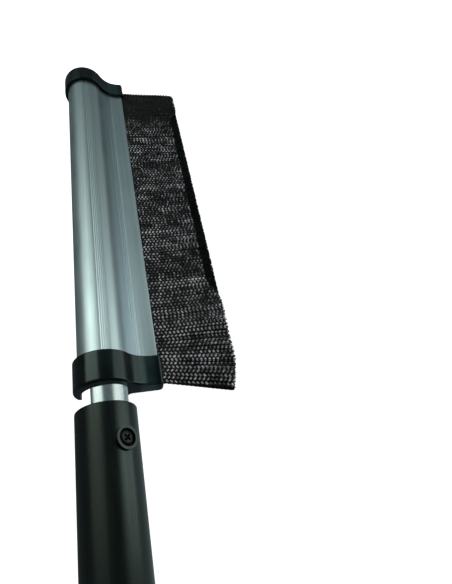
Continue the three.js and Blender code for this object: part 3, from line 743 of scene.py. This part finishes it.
def make_butt_cap():
    radius = BUTT_HIGH.z
    round_over = radius - BUTT_FACE
    outline = [(0, 0), (BUTT_FACE, 0)]
    outline += arc((BUTT_FACE, round_over), round_over, -math.pi / 2, 0, 12)[1:]
    outline += [(radius, BUTT_LENGTH), (0, BUTT_LENGTH)]
    beyond = 30 * MM
    plug = disc(HANDLE_BORE - CAP_FIT, BUTT_LENGTH - PAST, BUTT_HIGH.x)
    hang_hole = disc(HANG_HOLE, -20 * MM, 20 * MM)
    screw_hole = disc(BUTT_SCREW_HOLE, 2 * MM, 30 * MM)
    mesh = combined(
        lathe("butt_body", outline),
        ("DIFFERENCE", block("above", (-PAST, -beyond, TAB_HALF), (TAB_LENGTH, beyond, beyond))),
        ("DIFFERENCE", block("below", (-PAST, -beyond, -beyond), (TAB_LENGTH, beyond, -TAB_HALF))),
        ("UNION", lathe("plug", plug, 96, origin=POLE_AXIS)),
        ("DIFFERENCE", lathe("hang_hole", hang_hole, 72, (0, 0, 1), (HANG_HOLE_ALONG, 0, 0))),
        ("DIFFERENCE", lathe("screw_hole", screw_hole, 24, (0, 0, -1), (BUTT_SCREW_ALONG, 0, 0))),
    )
    obj = add_object("butt_cap_fine", rounded(mesh, BUTT_EDGE, segments=4), SATIN_BLACK)
    even_normals(obj)
    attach(obj, "handle")
    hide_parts("butt_cap")


def cross_arm(along, across, out):
    """One arm of the cross recess, which narrows and shortens towards its floor."""
    verts = []
    for height, half_length, half_width in CROSS:
        base = Vector(BOSS_CENTRE) + out * (SCREW_TOP + height)
        for a, b in ((-1, -1), (1, -1), (1, 1), (-1, 1)):
            verts.append(base + along * a * half_length + across * b * half_width)
    faces = [(3, 2, 1, 0), (4, 5, 6, 7), (0, 1, 5, 4), (1, 2, 6, 5), (2, 3, 7, 6), (3, 0, 4, 7)]
    mesh = mesh_from("cross", verts, faces)
    fix_normals(mesh)
    return mesh


def make_lock_screw():
    rim = SCREW_SEAT + SCREW_RIM
    outline = [
        (0, SHANK_START), (SHANK - SHANK_BEVEL, SHANK_START), (SHANK, SHANK_START + SHANK_BEVEL),
        (SHANK, SCREW_SEAT), (SCREW_HEAD - SCREW_BEVEL, SCREW_SEAT),
        (SCREW_HEAD, SCREW_SEAT + SCREW_BEVEL), (SCREW_HEAD, rim),
    ]
    for step in range(1, DOME_STEPS):
        turn = math.pi / 2 * step / DOME_STEPS
        radius = SCREW_HEAD * (DOME_FLAT + (1 - DOME_FLAT) * math.cos(turn))
        outline.append((radius, rim + (SCREW_TOP - rim) * math.sin(turn)))
    outline += [(SCREW_HEAD * DOME_FLAT, SCREW_TOP - 0.02 * MM), (0, SCREW_TOP)]
    out, second, third = basis(BOSS_OUT)
    mesh = combined(
        lathe("lock_screw_fine", outline, 72, BOSS_OUT, BOSS_CENTRE),
        ("DIFFERENCE", cross_arm(second, third, out)),
        ("DIFFERENCE", cross_arm(third, second, out)),
    )
    obj = add_object("lock_screw_fine", rounded(mesh, 0.08 * MM, segments=2, angle=40), BLACK_STEEL)
    even_normals(obj)
    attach(obj, "lock_screw")
    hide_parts("lock_screw")


# ---------- the pole and the head ----------


def make_pole():
    inner, start, end = POLE_RADIUS - POLE_WALL, POLE_LOW.x, POLE_HIGH.x
    outline = [
        (inner, start), (POLE_RADIUS - POLE_EDGE, start), (POLE_RADIUS, start + POLE_EDGE),
        (POLE_RADIUS, end - POLE_EDGE), (POLE_RADIUS - POLE_EDGE, end), (inner, end),
    ]
    mesh = lathe("pole_tube_fine", outline, origin=POLE_AXIS)
    obj = add_object("pole_tube_fine", mesh, POLE_ALUMINIUM, crease=50)
    even_normals(obj)
    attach(obj, "head")
    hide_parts("pole_tube")
    return obj


def make_bar():
    holes = [circle((0, 0), TUBE_BORE, 96), circle((PORT_REACH, STRIP_RISE), PORT_RADIUS, 32)]
    mesh = extruded("head_profile_fine", slotted(head_outline(0, True)), BAR_LOW.x, BAR_HIGH.x, holes)
    obj = add_object("head_profile_fine", mesh, BAR_ALUMINIUM, crease=28)
    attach(obj, "head")
    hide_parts("head_profile")


def cap_body(name, start, end, round_start, round_end):
    """A cap's solid, with its two outer edges rounded over."""
    turns = steps_between(0, math.pi / 2, CORNER_STEPS)
    ends = [(start, 1, round_start, turn) for turn in turns] + [(end, -1, round_end, turn) for turn in turns[::-1]]
    loops = []
    for face, inwards, width, turn in ends:
        outline = head_outline(CAP_PROUD - width * (1 - math.sin(turn)))
        loops.append(at_x(outline, face + inwards * width * (1 - math.cos(turn))))
    mesh = lofted(name, loops)
    fix_normals(mesh)
    return mesh


def strip_room(start, end):
    """What a cap leaves out for the brush strip."""
    return block("slot", (start, -SLOT_BEYOND, STRIP_RISE - SLOT_HALF), (end, -SLOT_START, STRIP_RISE + SLOT_HALF))


def make_near_cap():
    start, end = NEAR_LOW.x, NEAR_HIGH.x
    opening = arc(HOOD_CENTRE, HOOD_RADIUS, HOOD_FROM, HOOD_TO, 48) + HOOD_BELOW
    collar = disc(POLE_RADIUS + CAP_FIT, start - PAST, end)
    mesh = combined(
        cap_body("near_cap_fine", start, end, round_start=1.5 * MM, round_end=0.5 * MM),
        ("DIFFERENCE", extruded("skirt", head_outline(CAP_FIT), start + HOOD_DEPTH + NEAR_PLATE, end + PAST)),
        ("DIFFERENCE", lathe("collar", collar, 96, origin=POLE_AXIS)),
        ("DIFFERENCE", extruded("opening", opening, start - PAST, start + HOOD_DEPTH)),
        ("DIFFERENCE", strip_room(STRIP_LOW.x - CAP_FIT, end + PAST)),
    )
    obj = add_object("near_cap_fine", rounded(mesh, 0.45 * MM, angle=38), GLOSS_BLACK)
    obj.visible_glossy = False  # the photo's pole does not mirror the dark hood
    even_normals(obj)
    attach(obj, "head")
    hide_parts("near_cap")


def make_far_cap():
    start, end = FAR_LOW.x, FAR_HIGH.x
    plate = end - FAR_PLATE
    outer = TUBE_BORE - CAP_FIT
    spigot = ring_outline(outer - SPIGOT_WALL, outer, plate - SPIGOT_LENGTH, plate + PAST)
    port = (0, -PORT_REACH, STRIP_RISE)
    mesh = combined(
        cap_body("far_cap_fine", start, end, round_start=0.5 * MM, round_end=2.2 * MM),
        ("DIFFERENCE", extruded("skirt", head_outline(CAP_FIT), start - PAST, plate)),
        ("UNION", lathe("spigot", spigot, 96)),
        ("DIFFERENCE", strip_room(start - PAST, STRIP_HIGH.x + CAP_FIT)),
        ("DIFFERENCE", lathe("screw_hole", disc(PORT_RADIUS, start, end + PAST), 32, origin=port)),
        ("DIFFERENCE", lathe("sink", disc(SINK_RADIUS, end - SINK_DEPTH, end + PAST), 48, origin=port)),
    )
    obj = add_object("far_cap_fine", rounded(mesh, 0.4 * MM, angle=38), GLOSS_BLACK)
    even_normals(obj)
    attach(obj, "head")
    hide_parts("far_cap")


# ---------- the bristles ----------

CRIMP_PITCH = 2.75 * MM
CRIMP_DEPTH = 0.5 * MM
CRIMP_FROM, CRIMP_FULL = 3 * MM, 7 * MM  # the crimp grows between these distances from the strip
TUFT_PITCH = 2.4 * MM
CREST_SLANT = 1.8
CREST_CELLS = 40  # crests along a filament, each with its own brightness
FILAMENT_RADIUS = 0.29 * MM
SIDES = 3
STRIP_MARGIN = 0.6 * MM
ROOT_REACH = 30.6 * MM
TIP_REACH = -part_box(BLOCKS[3])[0].y
LIP_REACH = FLANGE_END + CAP_PROUD
LAYER_ROOT, LAYER_RISE = 0.75 * MM, 3.4 * MM  # half the bundle's depth at the strip, and what the tips add to it
FAN_REACH = 11.4 * MM  # how far the filaments at the near end lean out past the strip
FAN_LENGTH = 40 * MM
FAR_LEAN, FAR_LEAN_LENGTH = 5 * MM, 14 * MM
NEAR_WORN, NEAR_WORN_LENGTH = 5.2 * MM, 18 * MM
FAR_WORN, FAR_WORN_LENGTH = 1.2 * MM, 10 * MM
TOP_SHORT, TOP_SHORT_MIDDLE = 0.5 * MM, 8.3 * MM  # what the top layer stops short of the dark one
UNDER_SHORT = 0.3 * MM


def smooth_step(value, low, high):
    t = np.clip((value - low) / (high - low), 0, 1)
    return t * t * (3 - 2 * t)


def near_end(x, length):
    """1 at the near end of the strip, falling to 0 over this length."""
    return np.clip(1 - (x - STRIP_LOW.x) / length, 0, 1)


def far_end(x, length):
    return np.clip((x - STRIP_HIGH.x) / length + 1, 0, 1)


def skinned(name, path, radius, crest_highlight, finish):
    """Skins each row of path with a thin tube; all the tubes go into one mesh."""
    count, rows = path.shape[:2]
    segments = rows - 1
    tangent = np.gradient(path, axis=1)
    tangent /= np.linalg.norm(tangent, axis=2, keepdims=True)
    side = np.cross(tangent, np.array([1.0, 0.0, 0.0]))
    side /= np.linalg.norm(side, axis=2, keepdims=True)
    other = np.cross(tangent, side)
    turn = 2 * math.pi * np.arange(SIDES) / SIDES
    shape = np.cos(turn)[:, None] * side[:, :, None, :] + np.sin(turn)[:, None] * other[:, :, None, :]
    points = path[:, :, None, :] + shape * radius
    base = (np.arange(count) * rows * SIDES)[:, None, None]
    ring = (np.arange(segments) * SIDES)[None, :, None]
    k = np.arange(SIDES)[None, None, :]
    following = (k + 1) % SIDES
    quads = np.stack([
        base + ring + k, base + ring + following,
        base + ring + SIDES + following, base + ring + SIDES + k,
    ], axis=3).reshape(-1, 4)
    first = base[:, 0, :] + np.arange(SIDES - 1, -1, -1)[None, :]
    last = base[:, 0, :] + segments * SIDES + np.arange(SIDES)[None, :]
    loops = np.concatenate([quads.ravel(), first.ravel(), last.ravel()])
    sizes = np.concatenate([np.full(len(quads), 4), np.full(2 * count, SIDES)])
    starts = np.concatenate([[0], np.cumsum(sizes)[:-1]])
    mesh = bpy.data.meshes.new(name)
    mesh.vertices.add(points.size // 3)
    mesh.vertices.foreach_set("co", points.astype(np.float32).ravel())
    mesh.loops.add(len(loops))
    mesh.loops.foreach_set("vertex_index", loops.astype(np.int32))
    mesh.polygons.add(len(sizes))
    mesh.polygons.foreach_set("loop_start", starts.astype(np.int32))
    mesh.polygons.foreach_set("use_smooth", np.ones(len(sizes), dtype=bool))
    mesh.update(calc_edges=True)
    # Each point carries the strength of its painted highlight.
    level = mesh.attributes.new("crest_highlight", "FLOAT", "POINT")
    level.data.foreach_set("value", np.repeat(crest_highlight[:, :, None], SIDES, axis=2).astype(np.float32).ravel())
    mesh.materials.append(finish)
    return add_object(name, mesh, crease=None)


def highlight_strength(root_x, within, share):
    """How bright each filament's painted crest highlights are: painted light that falls off along the strip and across
    a tuft, with painted shade on the filaments low in the bundle.
    """
    falloff = (
        1.12 - 0.12 * smooth_step(root_x, 0.43, 0.50) - 0.10 * smooth_step(root_x, 0.50, 0.66)
        - 0.28 * smooth_step(root_x, 0.685, 0.720)
    )
    tuft_highlight = 1.04 - 0.33 * (2 * np.clip(within, 0, 1) - 1) ** 2
    # Painted shade on the filaments that lie low in the bundle.
    depth = 0.6 + 0.4 * smooth_step(share, 0.1, 0.7)
    return (falloff * tuft_highlight * depth)[:, None]


def tufts(name, start, end, seed, tip, layer):
    """Rows of crimped filaments, in tufts whose filaments wave together."""
    rng = np.random.default_rng(seed)
    each, low, high, crimp = layer["each"], *layer["band"], layer["crimp"]
    rows = max(1, round((end - start) / TUFT_PITCH))
    pitch = (end - start) / rows
    count = rows * each
    tuft = np.repeat(np.arange(rows), each)
    within = np.tile((np.arange(each) + 0.5) / each, rows) + rng.normal(0, 0.03, count)
    root_x = start + pitch * (tuft + 0.5 + (np.clip(within, 0.02, 0.98) - 0.5) * layer["bunch"])
    share = 1 - rng.uniform(0, 1, count) ** 1.6
    height = low + (high - low) * share
    # From the strip the filaments run straight out to their tips, and past the lip they fan out.
    tip_reach = np.minimum(tip(root_x) + rng.normal(0, 0.35 * MM, count), TIP_REACH)
    t = np.linspace(0, 1, layer["segments"] + 1)[None, :]
    reach = ROOT_REACH + (tip_reach[:, None] - ROOT_REACH) * t
    spread = np.clip((reach - LIP_REACH) / (TIP_REACH - LIP_REACH), 0, 1)
    fan = near_end(root_x, FAN_LENGTH)[:, None]
    far = far_end(root_x, FAR_LEAN_LENGTH)[:, None]
    drift = rng.normal(0, layer["stray"], count)[:, None] - FAR_LEAN * far
    x = root_x[:, None] - FAN_REACH * fan * spread + drift * spread ** 1.3
    z = STRIP_RISE + height[:, None] * (LAYER_ROOT + LAYER_RISE * smooth_step(spread, 0.0, 1.0))
    along = reach - ROOT_REACH
    # The filaments of a tuft wave together, and every other tuft is set off from its neighbours.
    stagger = 2.4 * (tuft % 2) + rng.normal(0, 0.55, rows)[tuft]
    shared = stagger + 1.7 * np.sin(root_x * 75) + 0.9 * np.sin(root_x * 31)
    own = rng.normal(0, 0.22, count)
    length = CRIMP_PITCH * (1 + rng.normal(0, 0.01, rows)[tuft] + rng.normal(0, 0.004, count))[:, None]
    slant = np.where(tuft % 2 == 0, 1.0, -1.0) * CREST_SLANT * (within - 0.5)
    wave = 2 * math.pi * along / length + (shared + slant + own)[:, None]
    grown = smooth_step(along, CRIMP_FROM, CRIMP_FULL) * rng.uniform(0.8, 1.15, count)[:, None]
    lean = rng.normal(0, 0.35, count)[:, None]
    x = x + crimp * grown * np.sin(wave) * np.sin(lean)
    z = z + crimp * grown * np.sin(wave) * np.cos(lean)
    # The painted highlight on each of the crests has its own brightness, over a slow patchiness of the whole brush.
    cell = np.floor(wave / (2 * math.pi) + 0.25).astype(int) % CREST_CELLS
    level = rng.uniform(0.80, 1.10, (rows, CREST_CELLS)) * rng.uniform(0.86, 1.06, (rows, 1))
    patch = np.sin(root_x * 210 + 1.3)[:, None] * np.sin(reach * 260 + root_x[:, None] * 90)
    crest_highlight = (0.5 + 0.5 * np.sin(wave)) * level[tuft[:, None], cell] * (0.95 + 0.1 * patch)
    crest_highlight = crest_highlight * highlight_strength(root_x, within, share)
    taper = (1 - 0.45 * smooth_step(t, 0.985, 1.0))[:, :, None, None]
    path = np.stack([x, -reach, z], axis=2)
    return skinned(name, path, layer["radius"] * taper, crest_highlight, layer["finish"])


def worn(x):
    """How much shorter the filaments are towards the two ends of the strip."""
    near, far = near_end(x, NEAR_WORN_LENGTH), far_end(x, FAR_WORN_LENGTH)
    return NEAR_WORN * near ** 1.1 + FAR_WORN * far ** 2


def top_tip(x):
    """How far the crimped top layer reaches: short of the dark layer along the middle of the strip."""
    middle = smooth_step(x, 0.492, 0.512) * (1 - smooth_step(x, 0.704, 0.722))
    return TIP_REACH - TOP_SHORT - TOP_SHORT_MIDDLE * middle - worn(x)


def under_tip(x):
    return TIP_REACH - UNDER_SHORT - worn(x)


# A layer's filaments per tuft, the band of heights they take, the segments of each, the depth of their crimp, the
# share of the tuft's pitch that they fill, how far their tips stray along the strip, their radius and their finish.
TOP_LAYER = dict(
    each=13, band=(0.0, 1.0), segments=120, crimp=CRIMP_DEPTH, bunch=0.62, stray=0.2 * MM,
    radius=FILAMENT_RADIUS, finish=BRISTLE_TOP,
)
UNDER_LAYER = dict(
    each=23, band=(-1.0, 0.1), segments=56, crimp=CRIMP_DEPTH * 0.5, bunch=1.0, stray=0.1 * MM,
    radius=FILAMENT_RADIUS * 1.2, finish=BRISTLE_UNDER,
)
TOP_SEED, UNDER_SEED = 100, 200


def make_bristles():
    """Returns the pieces of the top layer, which have a light of their own."""
    crests = []
    length = (STRIP_HIGH.x - STRIP_LOW.x - 2 * STRIP_MARGIN) / len(BLOCKS)
    for index, node in enumerate(BLOCKS):
        start = STRIP_LOW.x + STRIP_MARGIN + length * index
        top = tufts(f"{node}_top", start, start + length, TOP_SEED + index, top_tip, TOP_LAYER)
        under = tufts(f"{node}_under", start, start + length, UNDER_SEED + index, under_tip, UNDER_LAYER)
        for obj in (top, under):
            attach(obj, "head")
        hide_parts(node)
        crests.append(top)
    return crests


# ---------- CAD nodes that stay ----------

KEPT = {
    "butt_screw": BLACK_STEEL, "threaded_insert": BRASS, "pressure_pad": NYLON, "spring_washer": BLACK_STEEL,
    "guide_bush": SATIN_BLACK, "pole_plug": GLOSS_BLACK, "glide_ring": NYLON, "pole_saddle": NYLON,
    "saddle_screw_1": ZINC, "saddle_screw_2": ZINC, "far_cap_screw": BLACK_STEEL,
    "brush_channel": ZINC, "core_wire": ZINC,
}


def finish_kept_nodes():
    for name, finish in KEPT.items():
        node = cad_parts[name]
        node.data.materials.clear()
        node.data.materials.append(finish)


# ---------- floor, light and camera ----------


def make_floor():
    size, z = 8.0, cad_box[0].z - 0.2 * MM
    verts = [(-size, -size, z), (size, -size, z), (size, size, z), (-size, size, z)]
    finish = Finish("floor", Roughness=0.9)
    cloud = finish.noise(1.5, detail=2)
    finish.colour(finish.between(cloud, (0.86, 0.87, 0.87), (0.90, 0.90, 0.90)))
    finish.shader.inputs["Emission Color"].default_value = (1, 1, 1, 1)
    finish.shader.inputs["Emission Strength"].default_value = 1.0
    floor = add_object("floor", mesh_from("floor", verts, [(0, 1, 2, 3)]), finish.material, crease=None)
    floor.visible_glossy = False


# Where the world glows, as a direction, and the stops of its glow.
GLOW_TOWARD = (0, -0.80, -0.60)
GLOW = ((0.66, (0.062, 0.082, 0.087)), (0.86, (0.30, 0.38, 0.39)))

# Each row is a softbox's place along the tool, its length that way, the radiance of the left, right and upper one, and
# the left one's tint.
GREEN, CYAN = (0.91, 1.0, 0.92), (0.84, 1.0, 0.99)
SOFTBOXES = (
    (0.57, 0.32, 0.80, 2.1, 0, GREEN),
    (0.83, 0.18, 1.9, 1.0, 0, GREEN),
    (1.01, 0.18, 2.1, 0.95, 0.42, CYAN),
    (1.28, 0.36, 0.9, 0.38, 0.13, CYAN),
    (1.64, 0.36, 0.42, 0.17, 0.11, CYAN),
    (2.00, 0.36, 0.19, 0.10, 0.11, CYAN),
)
RIGHT_TINT, ABOVE_TINT = (0.86, 1.0, 1.02), (0.76, 1.0, 1.09)

# Where a softbox stands from its place on the tool's axis, and its height.
LEFT_PLACE, LEFT_HEIGHT = Vector((0, 0.58, 0.62)), 0.74
RIGHT_PLACE, RIGHT_HEIGHT = Vector((0, -0.75, 0.40)), 0.76
ABOVE_PLACE, ABOVE_HEIGHT = Vector((0, -0.12, 0.84)), 0.84

# Where each of the pole's own lights stands from the neck, its height and its radiance.
NECK_LIGHTS = (
    ("neck_left", (0.23, 0.587, 0.125), 0.78, 1.3),
    ("neck_right", (0.23, -0.45, 0.39), 0.50, 1.0),
    ("neck_low", (0.23, -0.60, 0.02), 0.30, 0.75),
)
NECK_LENGTH, NECK_TINT = 0.34, (0.93, 1.0, 0.96)

# The light kept to the bristles' crests.
KEY_PLACE, KEY_SIZE, KEY_RADIANCE, KEY_TINT = Vector((-0.25, 0.55, 0.75)), 0.25, 21.5, (1.0, 0.985, 0.985)


def add_light(name, place, aim, length, height, radiance, tint):
    """A rectangle of light that looks at aim from that place beside it."""
    light = bpy.data.lights.new(name, "AREA")
    light.shape = "RECTANGLE"
    light.size = length
    light.size_y = height
    light.energy = radiance * math.pi * length * height
    light.color = tint
    obj = bpy.data.objects.new(name, light)
    obj.location = aim + place
    obj.rotation_mode = "QUATERNION"
    obj.rotation_quaternion = (aim - obj.location).to_track_quat("-Z", "Y")
    bpy.context.scene.collection.objects.link(obj)
    return obj


def light_only(light, pieces):
    """Keeps a light to these pieces, which nothing else shades from it."""
    group = bpy.data.collections.new(f"lit_by_{light.name}")
    for piece in pieces:
        group.objects.link(piece)
    light.light_linking.receiver_collection = group
    light.light_linking.blocker_collection = group


def light_all_but(light, piece):
    """Keeps a light off this piece."""
    group = bpy.data.collections.new(f"spared_by_{light.name}")
    group.objects.link(piece)
    group.collection_objects[0].light_linking.link_state = "EXCLUDE"
    light.light_linking.receiver_collection = group


def make_world():
    """A weak surround with a soft glow low on the brush's side."""
    world = bpy.data.worlds.new("studio")
    bpy.context.scene.world = world
    world.use_nodes = True
    nodes, links = world.node_tree.nodes, world.node_tree.links
    toward = nodes.new("ShaderNodeVectorMath")
    toward.operation = "DOT_PRODUCT"
    toward.inputs[1].default_value = GLOW_TOWARD
    glow = nodes.new("ShaderNodeValToRGB")
    for element, (position, colour) in zip(glow.color_ramp.elements, GLOW):
        element.position = position
        element.color = (*colour, 1)
    links.new(nodes.new("ShaderNodeTexCoord").outputs["Generated"], toward.inputs[0])
    links.new(toward.outputs["Value"], glow.inputs["Fac"])
    links.new(glow.outputs["Color"], nodes["Background"].inputs["Color"])


def make_lights(pole, crests):
    """Softboxes on either side and above that dim along the tool, and lights kept to the pole and the bristles."""
    for index, (along, length, left, right, above, tint) in enumerate(SOFTBOXES):
        aim = Vector((along, 0, 0))
        light_all_but(add_light(f"left_{index}", LEFT_PLACE, aim, length, LEFT_HEIGHT, left, tint), pole)
        light_all_but(add_light(f"right_{index}", RIGHT_PLACE, aim, length, RIGHT_HEIGHT, right, RIGHT_TINT), pole)
        if above:
            add_light(f"above_{index}", ABOVE_PLACE, aim, length, ABOVE_HEIGHT, above, ABOVE_TINT)
    neck = Vector((MOUTH + 6 * MM, -POLE_REACH, 0))
    for name, place, height, radiance in NECK_LIGHTS:
        light_only(add_light(name, Vector(place), neck, NECK_LENGTH, height, radiance, NECK_TINT), [pole])
    strip = Vector(((STRIP_LOW.x + STRIP_HIGH.x) / 2, -TIP_REACH, 0))
    light_only(add_light("bristle_key", KEY_PLACE, strip, KEY_SIZE, KEY_SIZE, KEY_RADIANCE, KEY_TINT), crests)


# The photo's camera stands behind and above the handle's mouth, looks ahead of it and is rolled about its view.
CAMERA_BACK, CAMERA_RISE = 0.0940, 0.2622
AIM_AHEAD, AIM_REACH = 0.0789, 0.0914
CAMERA_ROLL = math.radians(19.2)
LENS_MM, SENSOR_MM = 27.03, 36


def make_camera():
    camera = bpy.data.cameras.new("photo_camera")
    camera.lens = LENS_MM
    camera.sensor_width = SENSOR_MM
    obj = bpy.data.objects.new("photo_camera", camera)
    obj.location = (MOUTH - CAMERA_BACK, 0, CAMERA_RISE)
    aim = Vector((MOUTH + AIM_AHEAD, -AIM_REACH, 0))
    obj.rotation_mode = "QUATERNION"
    obj.rotation_quaternion = (aim - obj.location).to_track_quat("-Z", "Y") @ Quaternion((0, 0, 1), CAMERA_ROLL)
    bpy.context.scene.collection.objects.link(obj)
    bpy.context.scene.camera = obj


make_camera()
make_floor()
bpy.context.scene.view_settings.view_transform = "Standard"
make_handle_shell()
make_grip()
make_butt_cap()
make_lock_screw()
pole = make_pole()
make_bar()
make_near_cap()
make_far_cap()
make_world()
make_lights(pole, make_bristles())
finish_kept_nodes()
